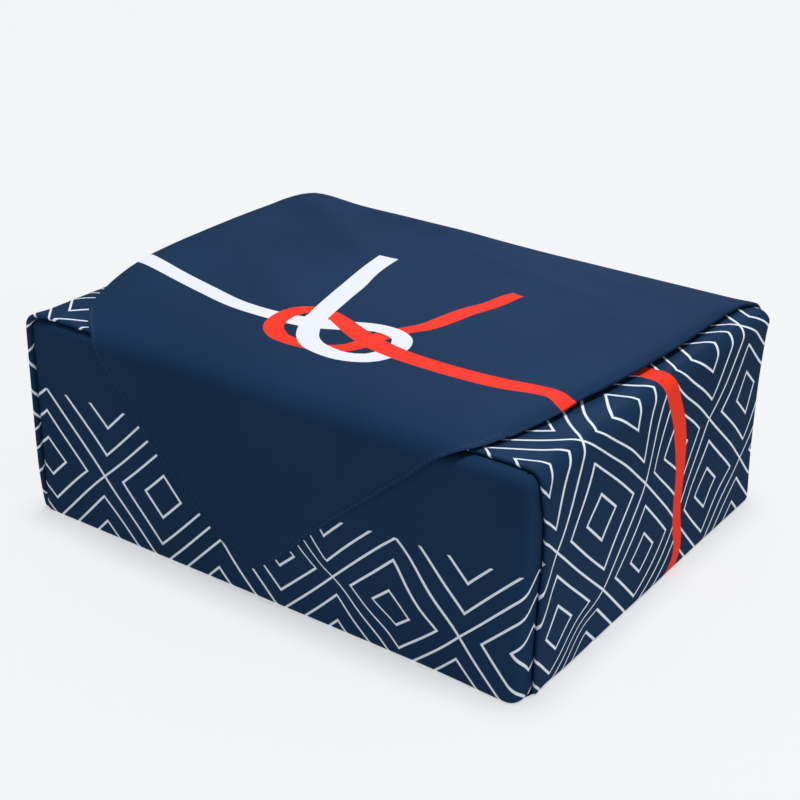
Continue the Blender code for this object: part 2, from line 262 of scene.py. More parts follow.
def smoothTable(rows, name):
    # a curve through a table's column that never overshoots its values
    places = [row["along"] for row in rows]
    values = [row[name] for row in rows]
    rates = [(b - a) / (q - p) for a, b, p, q in zip(values, values[1:], places, places[1:])]
    slopes = [rates[0]]
    for before, after in zip(rates, rates[1:]):
        slopes.append(0.0 if before * after <= 0 else 2 * before * after / (before + after))
    slopes.append(rates[-1])

    def at(place):
        if place <= places[0]:
            return values[0]
        if place >= places[-1]:
            return values[-1]
        index = max(i for i in range(len(places) - 1) if places[i] <= place)
        width = places[index + 1] - places[index]
        t = (place - places[index]) / width
        start, end = values[index], values[index + 1]
        return (
            start * (1 + 2 * t) * (1 - t) ** 2
            + slopes[index] * width * t * (1 - t) ** 2
            + end * t * t * (3 - 2 * t)
            - slopes[index + 1] * width * t * t * (1 - t)
        )

    return at


def steps(start, end, size):
    count = max(1, round((end - start) / size))
    return [mix(start, end, index / count) for index in range(1, count + 1)]


def crowded(count, crowd):
    # shares from 0 to 1 that lie closer together near both ends
    even = [(index + 0.5) / count for index in range(count)]
    return [share - crowd * math.sin(2 * math.pi * share) / (2 * math.pi) for share in even]


frontShares = crowded(columns["front"], columns["crowd"])
sideShares = crowded(columns["side"], columns["crowd"])


def footInset(path):
    # the wall turns in a little just above the floor
    drop = max(cloth["footHeight"] - path, 0.0)
    return cloth["footRadius"] - math.sqrt(cloth["footRadius"] ** 2 - drop**2)


class Wall:
    def __init__(self, normal, reach, span):
        self.normal = Vector((*normal, 0))
        self.sideways = Vector((-normal[1], normal[0], 0))
        self.reach = reach
        self.span = span

    def over(self, along, path, offset):
        # path runs up this wall, over the top and down the far one
        flatEnd = wallTop + arc + self.span - 2 * radius
        if path <= wallTop:
            inward, height, lean = footInset(path), path, 0.0
        elif path <= wallTop + arc:
            lean = (path - wallTop) / radius
            inward, height = radius - radius * math.cos(lean), wallTop + radius * math.sin(lean)
        elif path <= flatEnd:
            inward, height, lean = radius + path - wallTop - arc, top, math.pi / 2
        elif path <= flatEnd + arc:
            lean = math.pi / 2 + (path - flatEnd) / radius
            inward = self.span - radius - radius * math.cos(lean)
            height = wallTop + radius * math.sin(lean)
        else:
            inward, height, lean = self.span, wallTop - (path - flatEnd - arc), math.pi
        out = self.normal * math.cos(lean) + Vector((0, 0, 1)) * math.sin(lean)
        foot = self.normal * (self.reach - inward) + self.sideways * along
        return foot + Vector((0, 0, height)) + out * offset


frontWall = Wall((0, -1), -front, depth)
backWall = Wall((0, 1), back, depth)
rightWall = Wall((1, 0), halfLength, 2 * halfLength)
leftWall = Wall((-1, 0), halfLength, 2 * halfLength)


# The print's lattice on the flat cloth: a crossing, its pitch and how far it is turned
lattice = dict(startX=0.0377, startY=-0.1281, pitch=0.06236, turned=3.0)
latticeTurn = math.radians(lattice["turned"])
latticeAcross = Vector((math.cos(latticeTurn), math.sin(latticeTurn))) * lattice["pitch"]
latticeUp = Vector((-math.sin(latticeTurn), math.cos(latticeTurn))) * lattice["pitch"]


def crossing(rising, falling):
    # the cloth's place at a crossing of the lattice's rising and falling lines
    start = Vector((lattice["startX"], lattice["startY"]))
    return start + (latticeAcross * (rising + falling) + latticeUp * (rising - falling)) / 2


# Where the print's corners lie on the two panels that are pulled tight: millimetres along the panel and
# up it, then the numbers of the rising and falling lines that meet there. A ring's lines lie .16 or .355 off
# the lattice's own. The places were worked out by a separate script, by rays from the camera to corners read
# off its view, and the last eight rows on the left by a script that carries an even lattice on
frontPins = [
    (-122.8, 38.8, -2.645, -2.355), (-122.2, 52.5, -2.84, -2.16), (-121.6, 20.4, -2.355, -2.645),
    (-120.1, 8.6, -2.16, -2.84), (-112.5, 29.2, -2.355, -2.355), (-98.9, 29.1, -2.16, -2.16),
    (-89.3, 19.4, -1.84, -2.16), (-88.1, 7.2, -1.645, -2.355), (-87.8, 30.0, -2, -2),
    (-85.6, 41.1, -2.16, -1.84), (-83.8, 54.9, -2.355, -1.645), (-76.7, 30.5, -1.84, -1.84),
    (-63.0, 30.9, -1.645, -1.645), (-54.8, 6.8, -1.16, -1.84), (-53.4, 20.6, -1.355, -1.645),
    (-51.6, 41.8, -1.645, -1.355), (-42.3, 31.6, -1.355, -1.355), (-21.9, 6.9, -0.645, -1.355),
    (-19.9, 21.4, -0.84, -1.16), (31.2, 26.0, -0.16, -0.16), (35.0, 42.4, -0.355, 0.355),
    (36.1, 30.7, -0.16, 0.16), (39.5, 24.9, 0, 0), (41.6, 17.2, 0.16, -0.16), (41.8, 4.8, 0.355, -0.355),
    (48.4, 24.0, 0.16, 0.16), (59.2, 21.8, 0.355, 0.355), (67.2, 28.6, 0.355, 0.645),
    (69.3, 43.6, 0.16, 0.84), (70.1, 53.5, 0, 1), (71.3, 14.4, 0.645, 0.355), (72.4, 3.7, 0.84, 0.16),
    (76.7, 18.6, 0.645, 0.645), (90.4, 19.0, 0.84, 0.84), (99.8, 9.9, 1.16, 0.84), (100.7, 20.3, 1, 1),
    (102.7, 31.5, 0.84, 1.16), (103.6, 45.2, 0.645, 1.355), (110.9, 20.9, 1.16, 1.16),
    (124.1, 22.0, 1.355, 1.355),
]
rightPins = [
    (85.8, 7.6, 4.645, -1.355), (-53.3, 9.1, 2.645, 0.645), (-80.9, 4.3, 2.16, 1.16),
    (-43.8, 14.7, 2.84, 0.84), (89.7, 18.2, 4.84, -1.16), (-76.7, 13.4, 2.355, 1.355),
    (55.2, 17.9, 4.355, -0.645), (64.3, 29.2, 4.645, -0.645), (-64.8, 22.3, 2.645, 1.355),
    (-50.3, 21.5, 2.84, 1.16), (-39.2, 21.5, 3, 1), (35.2, 25.2, 4.16, -0.16),
    (45.3, 27.2, 4.355, -0.355), (80.4, 27.9, 4.84, -0.84), (91.9, 27.7, 5, -1),
    (55.4, 37.4, 4.645, -0.355), (-76.0, 32.6, 2.645, 1.645), (-40.3, 31.7, 3.16, 1.16),
    (93.5, 36.5, 5.16, -0.84), (-78.0, 46.8, 2.84, 1.84), (53.9, 51.6, 4.84, -0.16),
    (-45.0, 47.4, 3.355, 1.355), (93.2, 50.1, 5.355, -0.645), (-79.4, 57.7, 3, 2),
    (-68.7, 57.7, 3.16, 1.84), (-57.6, 59.1, 3.355, 1.645), (-35.4, 58.6, 3.645, 1.355),
    (-19.5, 57.2, 3.84, 1.16), (-8.1, 56.8, 4, 1), (-0.8, 59.1, 4.16, 0.84), (7.7, 61.6, 4.355, 0.645),
    (30.7, 60.8, 4.645, 0.355), (42.3, 62.1, 4.84, 0.16), (51.1, 63.5, 5, 0), (62.9, 62.7, 5.16, -0.16),
    (78.8, 61.8, 5.355, -0.355), (98.9, 63.7, 5.645, -0.645), (87.2, 73.1, 5.645, -0.355),
    (-48.2, 69.5, 3.645, 1.645), (-82.1, 69.1, 3.16, 2.16), (-11.1, 67.9, 4.16, 1.16),
    (51.7, 72.4, 5.16, 0.16), (-55.2, 85.7, 3.84, 1.84), (84.6, 87.7, 5.84, -0.16),
    (-90.6, 86.9, 3.355, 2.355), (-19.2, 85.5, 4.355, 1.355), (48.9, 86.7, 5.355, 0.355),
    (-85.5, 97.5, 3.645, 2.355), (-71.4, 97.4, 3.84, 2.16), (-61.2, 97.6, 4, 2),
    (-50.6, 97.2, 4.16, 1.84), (-37.1, 97.9, 4.355, 1.645), (-16.1, 97.5, 4.645, 1.355),
    (-1.9, 97.9, 4.84, 1.16), (10.0, 99.8, 5, 1), (18.9, 98.1, 5.16, 0.84), (32.5, 98.1, 5.355, 0.645),
    (55.1, 98.6, 5.645, 0.355), (69.5, 98.9, 5.84, 0.16), (80.0, 98.5, 6, 0),
    (-21.0, 109.6, 4.645, 1.645), (-91.5, 108.9, 3.645, 2.645), (-90.3, 122.4, 3.84, 2.84),
]
leftPins = [
    (-77.2, 98.8, -3.355, -5.355), (-88.1, 108.0, -3.645, -5.355), (-69.3, 105.5, -3.355, -5.58),
    (-81.9, 112.9, -3.645, -5.53), (-98.8, 110.5, -3.84, -5.23), (-92.1, 123.5, -3.84, -5.55),
    (-97.6, 129.3, -4, -5.56), (-101.6, 100.6, -3.72, -5), (-63.7, 105.8, -3.16, -5.67),
    (-100.0, 5.0, -2.28, -3.42), (0.0, 5.0, -0.6, -4.94), (100.0, 5.0, 1.09, -6.45),
    (-100.0, 60.0, -3.12, -4.35), (0.0, 60.0, -1.43, -5.86), (100.0, 60.0, 0.25, -7.38),
    (10.0, 110.0, -2.02, -6.86), (100.0, 110.0, -0.51, -8.22),
]
pinning = dict(soften=0.00004, frontReach=0.129, frontTop=wallTop, sideReach=0.106, sideTop=0.125)


def stretched(pins, reach, highest, onward):
    # a thin sheet's bending through the pins, from a panel's place to the cloth's; straight on past its ends
    places = np.array(pins)[:, :2] / 1000
    values = np.array([crossing(rising, falling) for _, _, rising, falling in pins])

    def kernel(gaps):
        squares = (gaps**2).sum(-1)
        return squares * np.log(squares + 1e-12)

    count = len(pins)
    plane = np.hstack([np.ones((count, 1)), places])
    system = np.zeros((count + 3, count + 3))
    system[:count, :count] = kernel(places[:, None] - places[None]) + pinning["soften"] * np.eye(count)
    system[:count, count:] = plane
    system[count:, :count] = plane.T
    weights = np.linalg.solve(system, np.vstack([values, np.zeros((3, 2))]))

    def at(along, up):
        nearAlong, nearUp = min(max(along, -reach), reach), min(up, highest)
        bend = kernel(places - np.array((nearAlong, nearUp)))
        found = bend @ weights[:count] + np.array((1, nearAlong, nearUp)) @ weights[count:]
        found = Vector(found) + onward[0] * (along - nearAlong) + onward[1] * (up - nearUp)
        return found.x, found.y

    return at


def stretchedSide(pins, outward):
    return stretched(pins, pinning["sideReach"], pinning["sideTop"], (Vector((0, 1)), Vector((outward, 0))))


frontOnward = (Vector((1, 0)), Vector((0, -1)))
frontCloth = stretched(frontPins, pinning["frontReach"], pinning["frontTop"], frontOnward)
leftCloth = stretchedSide(leftPins, -1)
rightCloth = stretchedSide(rightPins, 1)


def backCloth(x, path):
    return x, clothPlace["backEdge"] + path - top


def bottomCloth(x, y):
    return x, y - clothPlace["middle"]


def outerPath(path):
    # how far up a wing's cloth a place on its wall's path lies: the cloth turns wider than the block
    wide = (radius + layer[2]) / radius
    return path + (wide - 1) * min(max(path - wallTop, 0.0), arc)


rightBehindAt = smoothTable(rightFold, "behind")
backBehindAt = smoothTable(backFold, "behind")
leftBehindAt = smoothTable(leftFold, "behind")


def turnStations(edge, low, high, heading, count):
    # a half turn between two layers: (along, offset, way round from its start)
    middle, half = (low + high) / 2, (high - low) / 2
    for index in range(count + 1):
        angle = math.pi * index / count
        yield edge + heading * half * math.sin(angle), middle - half * math.cos(angle), half * angle


cornerArc = (radius + layer[0]) * math.pi / 2


def vertexColumns(under, over, path, offset, cover, flare=0.0):
    # past the end of a panel: round the box's upright corner, then a little of the next wall
    lean = min(max(path - wallTop, 0.0) / radius, math.pi / 2)
    height = min(path, wallTop)
    inset = footInset(path)
    centre = under.normal * (under.reach - inset - radius) + over.normal * (over.reach - inset - radius)
    centre += Vector((0, 0, height))
    power = squareness["back" if over is backWall else "left" if over is leftWall else "right"]
    made = []
    for index in range(columns["corner"] + 1):
        share = index / columns["corner"]
        turn = math.pi / 2 * share
        square = (math.cos(turn) ** power + math.sin(turn) ** power) ** (-1 / power)
        square = mix(square, 1.0, math.sin(lean))
        out = (under.normal * math.cos(turn) + over.normal * math.sin(turn)) * square
        out = out * math.cos(lean) + Vector((0, 0, math.sin(lean)))
        aside = under.normal * flare * math.cos(turn)
        made.append((centre + out * (radius + offset) + aside, cover(cornerArc * share - radius)))
    return made


def gusset(under, over, height, behind, level, puff, underCloth, overCloth, flare=0.0):
    # the cloth round one corner: an ear of the panel below, its crease, and the fold of the one over it
    inset = footInset(height)
    corner = under.normal * (under.reach - inset) + over.normal * (over.reach - inset)
    corner += Vector((0, 0, height))
    ear = max(height, behind + cloth["earLeast"], radius + cloth["pastCorner"])
    low, middle, high = layer[level], layer[level + 1], layer[level + 2] + puff
    saved = 2 * radius - cornerArc

    def beside(distance, offset):
        return corner - under.normal * distance + over.normal * offset

    made = vertexColumns(under, over, height, low, underCloth, flare)
    for share in columns["ear"]:
        distance = mix(radius, ear, share)
        made.append((beside(distance, low), underCloth(distance - saved)))
    for distance, offset, way in turnStations(ear, low, middle, 1, columns["crease"]):
        made.append((beside(distance, offset), underCloth(ear - saved + way)))
    turnLength = math.pi * (high - middle) / 2
    for share in columns["inner"]:
        distance = mix(ear, behind, share)
        made.append((beside(distance, middle), overCloth(2 * behind - distance - turnLength)))
    for distance, offset, way in turnStations(behind, middle, high, -1, columns["fold"]):
        made.append((beside(distance, offset), overCloth(behind - turnLength + way)))
    return made


# How many columns they have: a gusset up to its crease's far end, a whole one, a folded edge, and a corner's
# round with the first column past it
gussetReturn = columns["corner"] + 1 + len(columns["ear"]) + columns["crease"]
gussetColumns = gussetReturn + 1 + len(columns["inner"]) + columns["fold"] + 1
foldColumns = 1 + len(columns["inner"]) + columns["fold"] + 1
vertexExtra = columns["corner"] + 2


def betweenEdges(height):
    return math.sin(math.pi * min(max(height / wallTop, 0), 1))


def sideWave(y, height, side):
    total = stand["side"]
    for wave in sideWaves:
        total += wave["height"] * math.sin(y * wave["overLength"] + height * wave["overHeight"] + side)
    return total * betweenEdges(height) ** 0.5


def sideLayer(share):
    # over the front's ear, and a layer lower at the back corner
    return mix(layer[2], layer[1], ease(share, *folds["settles"]))


rightFlareAt = smoothTable(rightFlare, "out")


def sideFlare(face, share, path):
    if face is not rightWall:
        return 0.0
    foot = footFlare["side"] * hump(path, footFlare["height"]) * ease(share, 0.0, footFlare["sideRise"])
    lean = min(max(path - wallTop, 0.0) / radius, math.pi / 2)
    return foot + rightFlareAt(path) * ease(share, flareFrom, 1.0) * math.cos(lean)


def frontFlare(x, height):
    away = max(halfLength - x, 0.0)
    return footFlare["front"] * hump(height, footFlare["height"]) * hump(away, footFlare["length"])


def sidePoint(face, cover, share, path, foldAt, puff):
    # one place of a side panel, from its front fold to the back gusset
    y = mix(front + foldAt, back - radius, share)
    offset = sideLayer(share) + puff * hump(y - front - foldAt, folds["puffWidth"])
    if path < wallTop:
        fade = ease(1 - share, 0.0, waveEnds["back"]) * ease(share, 0.0, waveEnds["front"])
        offset += sideWave(y, path, face.normal.x) * fade
    flare = face.normal * sideFlare(face, share, path)
    return face.over(y * face.normal.x, path, offset) + flare, cover(y, outerPath(path))


def panelBulge(x, height, half, amount):
    return amount * betweenEdges(height) * max(1 - (x / half) ** 2, 0)


def ring(height):
    # the cloth round the whole box at one height, and where each panel starts in it
    flatHalf = halfLength - radius
    backHalf = halfLength - backBehindAt(height)
    frontPart = []
    for share in frontShares:
        x = mix(-flatHalf, flatHalf, share)
        offset = layer[0] + panelBulge(x, height, flatHalf, stand["front"]) + frontFlare(x, height)
        frontPart.append((frontWall.over(x, height, offset), frontCloth(x, height)))
    backPart = []
    for share in frontShares:
        x = mix(-backHalf, backHalf, share)
        puff = folds["backPuff"] * hump(backHalf - abs(x), folds["puffWidth"])
        offset = layer[3] + puff + panelBulge(x, height, backHalf, stand["back"])
        backPart.append((backWall.over(x, height, offset), backCloth(-x, height)))
    rightBehind, leftBehind, backBehind = rightBehindAt(height), leftBehindAt(height), backBehindAt(height)
    rightPart = [
        sidePoint(rightWall, rightCloth, share, height, rightBehind, folds["rightPuff"])
        for share in sideShares
    ]
    leftPart = [
        sidePoint(leftWall, leftCloth, share, height, leftBehind, folds["leftPuff"])
        for share in sideShares[::-1]
    ]
    corners = {
        "front right": gusset(
            frontWall, rightWall, height, rightBehind, 0, folds["rightPuff"],
            lambda d: frontCloth(halfLength + d, height), lambda d: rightCloth(front + d, height),
            frontFlare(halfLength - radius, height)),
        "back right": gusset(
            rightWall, backWall, height, backBehind, 1, folds["backPuff"],
            lambda d: rightCloth(back + d, height), lambda d: backCloth(halfLength - d, height),
            sideFlare(rightWall, 1.0, height)),
        "back left": gusset(
            leftWall, backWall, height, backBehind, 1, folds["backPuff"],
            lambda d: leftCloth(back + d, height), lambda d: backCloth(d - halfLength, height))[::-1],
        "front left": gusset(
            frontWall, leftWall, height, leftBehind, 0, folds["leftPuff"],
            lambda d: frontCloth(-halfLength - d, height), lambda d: leftCloth(front + d, height))[::-1],
    }
    parts = [
        ("front", frontPart), ("front right", corners["front right"]),
        ("right", rightPart), ("back right", corners["back right"]),
        ("back", backPart), ("back left", corners["back left"]),
        ("left", leftPart), ("front left", corners["front left"]),
    ]
    points, start = [], {}
    for name, part in parts:
        start[name] = len(points)
        points += part
    return points, start


class Net:
    # the open sheet: rows of places, each with its place on the flat cloth, joined by quads
    def __init__(self):
        self.points, self.flats, self.faces = [], [], []

    def row(self, places):
        start = len(self.points)
        for point, flat in places:
            self.points.append((point[0] + middleX, point[1], point[2]))
            self.flats.append(flat)
        return list(range(start, len(self.points)))

    def join(self, lower, upper, closed=False):
        count = len(lower)
        for step in range(count if closed else count - 1):
            after = (step + 1) % count
            self.faces.append((lower[step], lower[after], upper[after], upper[step]))

    def climb(self, row, rows):
        # rows one after another, each with what the last one drops at its two ends; a box corner's
        # round columns close in a fan on the end of the row above
        for places, (first, last), (fanFirst, fanLast) in rows:
            lower = row
            row, below = self.row(places), row[first : len(row) - last]
            self.join(below, row)
            for step in range(first - fanFirst, first):
                self.faces.append((lower[step], lower[step + 1], row[0]))
            for step in range(fanLast):
                place = len(lower) - last - 1 + step
                self.faces.append((lower[place], lower[place + 1], row[-1]))
        return row


def makeBottom(net, row, start):
    # a coarse grid, strips out to the walls' feet, and a polygon at the foot of each gusset
    half = halfLength - radius
    floor = cloth["floor"]
    step = columns["bottomStep"]
    margin = columns["bottomMargin"]
    across = [mix(-half, half, share) for share in frontShares[::step] + [frontShares[-1]]]
    deep = [mix(front, back - radius, share) for share in sideShares[::step] + [sideShares[-1]]]
    across = sorted({min(max(x, -half + margin), half - margin) for x in across})
    deep = sorted({min(max(y, front + radius + margin), back - radius - margin) for y in deep})
    grid = [net.row([(Vector((x, y, floor)), bottomCloth(x, y)) for x in across]) for y in deep]
    for nearer, farther in zip(grid, grid[1:]):
        net.join(farther, nearer)
    sides = {
        "front": (grid[0], columns["front"]),
        "right": ([line[-1] for line in grid], columns["side"]),
        "back": (grid[-1][::-1], columns["front"]),
        "left": ([line[0] for line in grid][::-1], columns["side"]),
    }
    names = list(sides)
    for name, (inner, count) in sides.items():
        outer = row[start[name] : start[name] + count]
        # each inner stretch meets a few of the outer columns
        marks = [round(index * (count - 1) / (len(inner) - 1)) for index in range(len(inner))]
        for index in range(len(inner) - 1):
            edge = outer[marks[index] : marks[index + 1] + 1]
            net.faces.append((inner[index], inner[index + 1], *edge[::-1]))
        after = names[(names.index(name) + 1) % len(names)]
        stop = start[after] or len(row)
        corner = row[start[name] + count - 1 : stop] + [row[start[after]], inner[-1]]
        net.faces.append(tuple(corner[::-1]))


def makeWalls(net):
    heights = [cloth["floor"], *columns["footHeights"], cloth["footHeight"]]
    heights += steps(cloth["footHeight"], wallTop, columns["wallStep"])
    points, start = ring(heights[0])
    rows = [net.row(points)] + [net.row(ring(height)[0]) for height in heights[1:]]
    makeBottom(net, rows[0], start)
    for lower, upper in zip(rows, rows[1:]):
        net.join(lower, upper, closed=True)
    return rows[-1], start


def cornerPlaces(under, over, path, offset, cover, flare=0.0):
    # what a panel's row has past its last column while it turns over the box's top edge
    made = vertexColumns(under, over, path, offset, cover, flare)
    distance = mix(radius, wallTop, columns["ear"][0])
    beside = -under.normal * distance + under.normal * under.reach
    along = beside.dot(over.sideways)
    made.append((over.over(along, path, offset), cover(distance - 2 * radius + cornerArc)))
    return made


def makeFrontTop(net, row, start):
    # the front panel over the top, the lowest layer there
    count = vertexExtra
    left = row[start["front left"] + gussetColumns - count :]
    below = left + row[start["front"] : start["front right"] + count]
    half = halfLength - radius

    def places(path, draw):
        span = half - draw
        across = [mix(-span, span, share) for share in [0.0] + frontShares + [1.0]]
        return [(frontWall.over(x, path, layer[0]), frontCloth(x, path)) for x in across]

    rows = []
    for share in columns["frontEdge"]:
        path = wallTop + arc * share
        rightEnd = cornerPlaces(
            frontWall, rightWall, path, layer[0], lambda d: frontCloth(halfLength + d, path))
        leftEnd = cornerPlaces(
            frontWall, leftWall, path, layer[0], lambda d: frontCloth(-halfLength - d, path))
        rows.append((leftEnd[::-1] + places(path, 0.0)[1:-1] + rightEnd, (0, 0), (0, 0)))
    paths = [wallTop + arc] + steps(wallTop + arc, wallTop + arc + frontTop["reach"], frontTop["rowStep"])
    for index, path in enumerate(paths):
        share = (path - paths[0]) / frontTop["reach"]
        draw = frontTop["draw"] * ease(share, 0, frontTop["drawn"])
        draw += frontTop["lastDraw"] * ease(share, frontTop["lastDrawFrom"], 1.0)
        drop, fan = (count - 1, columns["corner"]) if index == 0 else (0, 0)
        rows.append((places(path, draw), (drop, drop), (fan, fan)))
    net.climb(below, rows)


def panelEdge(edge, fold, low, high, heading):
    # what a folded edge adds beside a panel on the top: (along, offset, way on the cloth back from the edge)
    inner = edge - heading * fold
    turnLength = math.pi * (high - low) / 2
    shares = (0.0, *columns["inner"])
    made = [(mix(inner, edge, share), low, turnLength + fold * (1 - share)) for share in shares]
    for along, offset, way in turnStations(edge, low, high, heading, columns["fold"]):
        made.append((along, offset, turnLength - way))
    return made


def makeWingTop(net, below, face, cover, wing, edgeAt, edgePuff):
    foldAt, riseAt = smoothTable(wing["rows"], "fold"), smoothTable(wing["rows"], "rise")
    edgeStart = wallTop + arc
    paths = [wallTop + arc * share for share in (*columns["topEdge"], 1.0)]
    paths += steps(edgeStart, edgeStart + wingTop["fineLength"], wingTop["fineStep"])
    paths += steps(edgeStart + wingTop["fineLength"], edgeStart + wing["reach"], wingTop["coarseStep"])
    made, folded, rounded = [], True, True
    for path in paths:
        along = path - edgeStart
        hasFold, isRound = along < wing["foldEnd"], path < edgeStart - 1e-6
        drop = foldColumns - 1 if folded and not hasFold else 0
        dropRound = vertexExtra - 1 if rounded and not isRound else 0
        folded, rounded = hasFold, isRound
        overEdge = ease(path, wallTop, edgeStart)
        puff = mix(edgePuff, folds["topPuff"], overEdge)
        start, end = front + edgeAt(path), back - radius
        high = layer[2] + riseAt(along)
        clothPath = outerPath(path)
        places = []
        if hasFold:
            fold = max(foldAt(along), wingTop["leastFold"]) if along > 0 else wallTop - edgeAt(path)
            for y, offset, way in panelEdge(start, fold, layer[1], high + puff, -1):
                # the folded-under cloth lies past the edge on the flat square
                places.append((face.over(y * face.normal.x, path, offset), cover(start - way, clothPath)))
        else:
            places.append((face.over(start * face.normal.x, path, high), cover(start, clothPath)))
        for share in sideShares:
            y = mix(start, end, share)
            swell = puff * hump(y - start, folds["puffWidth"])
            offset = mix(sideLayer(share), high, overEdge) + swell
            flare = face.normal * sideFlare(face, share, path)
            places.append((face.over(y * face.normal.x, path, offset) + flare, cover(y, clothPath)))
        if isRound:
            offset = mix(sideLayer(1), high, overEdge)
            flare = sideFlare(face, 1.0, path)
            places += cornerPlaces(
                face, backWall, path, offset, lambda d: cover(back + d, clothPath), flare)
        else:
            places.append((face.over(end * face.normal.x, path, high), cover(end, clothPath)))
        fan = columns["corner"] if dropRound else 0
        if face.normal.x > 0:
            made.append((places, (drop, dropRound), (0, fan)))
        else:
            made.append((places[::-1], (dropRound, drop), (fan, 0)))
    net.climb(below, made)


def flapPath(along):
    # measured on the block's sharp edges; the rounded ones are shorter
    saved = 2 * radius - arc
    frontEdge = flap["frontEdge"]
    return top - saved / 2 + along - saved * ease(along, depth - frontEdge, depth + frontEdge)


def creaseHeight(x, along):
    total = 0.0
    for crease in flapCreases:
        start = Vector((crease["fromX"], crease["fromAlong"]))
        run = Vector((crease["toX"], crease["toAlong"])) - start
        gap = Vector((x, along)) - start
        share = gap.dot(run) / run.length_squared
        away = (gap - run * share).length
        taper = ease(share, *flap["creaseTaper"]) * ease(1 - share, *flap["creaseTaper"])
        total += crease["height"] * hump(away, crease["width"]) * taper
    edge = flap["creaseStart"]
    return total * ease(along, -edge, edge)


flapAt = {name: smoothTable(flapRows, name) for name in flapRows[0] if name != "along"}


def flapColumns(left, right):
    # columns across the flap: a few at set distances from each edge, the others spread between
    width = right - left
    gaps = flap["hemColumns"]
    most = width * flap["hemColumnShare"]
    near = [min(gap, most * (index + 1) / len(gaps)) for index, gap in enumerate(gaps)]
    inner = columns["front"] - 2 * len(near)
    start, end = left + near[-1], right - near[-1]
    middle = [mix(start, end, (index + 1) / (inner + 1)) for index in range(inner)]
    return [left + gap for gap in near] + middle + [right - gap for gap in near[::-1]]


def flapPlaces():
    # each row's way up the back and over it, and its distance from the top's back edge
    found = [(wallTop + arc * share, wallTop + arc * share - top) for share in columns["topEdge"]]
    bendStart, bendEnd = depth + flap["bend"][0], depth + flap["bend"][1]
    alongs = [flap["start"]] + steps(flap["start"], bendStart, flap["rowStep"])
    alongs += steps(bendStart, bendEnd, flap["bendStep"])
    alongs += steps(bendEnd, flapRows[-1]["along"], flap["frontStep"])
    return found + [(flapPath(along), along) for along in alongs]


def makeFlap(net, below):
    made, folded, hems = [], True, {"left": [], "right": []}
    end, foldEnd, hemStart = flapRows[-1]["along"], flap["foldEnd"], flap["hemStart"]
    for path, along in flapPlaces():
        overEdge = ease(path, wallTop, wallTop + arc)
        onTop = ease(along, *flap["backEdge"])
        half = halfLength - backBehindAt(path)
        left, right = mix(-half, flapAt["left"](along), onTop), mix(half, flapAt["right"](along), onTop)
        hasFold = along < foldEnd
        drop = foldColumns - 1 if folded and not hasFold else 0
        folded = hasFold
        down = ease(along - depth, *flap["comesDown"])
        curl = flap["tipCurl"] * ease(along, end - flap["tipCurlLength"], end) ** 2
        leftLift, rightLift = flapAt["leftLift"](along) * onTop, flapAt["rightLift"](along) * onTop
        closing = ease(along, foldEnd - flap["closing"], foldEnd - hemStart)
        high = mix(layer[3], layer[4], overEdge)
        low = mix(layer[2], layer[3], overEdge)
        puff = mix(folds["backPuff"], flap["puff"], overEdge) * (1 - closing)
        fold = max(flapAt["fold"](along), flap["leastFold"])
        crown = flapAt["crown"](along) * onTop
        hemShare = ease(along, foldEnd - hemStart, foldEnd + hemStart)

        def surface(x):
            edgeGap = max(min(x - left, right - x), 0.0)
            shoulders = zip((x - left, right - x), flap["shoulders"])
            share = math.prod(1 - math.exp(-max(gap, 0.0) / reach) for gap, reach in shoulders)
            offset = high + crown * share + creaseHeight(x, along)
            offset += puff * hump(edgeGap, folds["puffWidth"])
            offset += leftLift * hump(x - left, flap["leftLiftWidth"])
            offset += rightLift * hump(right - x, flap["rightLiftWidth"])
            if down:
                offset = mix(offset, layer[0] + flap["onFront"], down) + curl
            inHem = hemShare * (1 - ease(edgeGap - flap["hemWidth"], *flap["hemStep"]))
            return offset + flap["hemRise"] * inHem

        def place(x, offset, clothX):
            # along the back wall x runs the other way
            return backWall.over(-x, path, offset), backCloth(clothX, path)

        def foldUnder(edge, heading, lift, liftWidth):
            # the folded-under cloth lies flat again where the edge's lift ends
            risen = mix(low + lift * flap["underLift"], surface(edge) - flap["closedGap"], closing)
            stations = panelEdge(edge, fold, risen, surface(edge), heading)
            for index, (x, offset, way) in enumerate(stations):
                if index <= len(columns["inner"]):
                    offset = mix(low + (offset - low) * hump(x - edge, liftWidth), offset, closing)
                yield place(x, offset, edge + heading * way)

        places = []
        if hasFold:
            places += foldUnder(left, -1, leftLift, flap["leftLiftWidth"])
        else:
            # the fold ends a little wider than the hem
            wide = flap["foldEndWidth"] * (1 - ease(along, foldEnd, foldEnd + flap["foldEndLength"]))
            places.append(place(left - wide, surface(left), left - wide))
        for x in flapColumns(left, right):
            places.append(place(x, surface(x), x))
        if hasFold:
            places += list(foldUnder(right, 1, rightLift, flap["rightLiftWidth"]))[::-1]
        else:
            places.append(place(right + wide, surface(right), right + wide))
            stitch = flap["stitchLine"]
            if right - left > 4 * stitch:  # past that the two lines would meet
                lift = cloth["thickness"] / 2
                for name, x in (("left", left + stitch), ("right", right - stitch)):
                    hems[name].append(backWall.over(-x, path, surface(x) + lift) + Vector((middleX, 0, 0)))
        # the back wall's columns run from right to left as seen from the front
        made.append((places[::-1], (drop, drop), (0, 0)))
    net.climb(below, made)
    return hems


# The printed cords' centre lines and widths, in millimetres on the wrapped box: x and y on its top, y and
# the way up on its sides. Both are turned into metres on the flat cloth
topY = clothPlace["backEdge"] + clothPlace["onTop"] + back - (2 * radius - arc)


def onFlap(points):
    return [(x / 1000, topY - y / 1000, width / 1000) for x, y, width in points]


def onSide(cover, points):
    return [(*cover(y / 1000, up / 1000), width / 1000) for y, up, width in points]


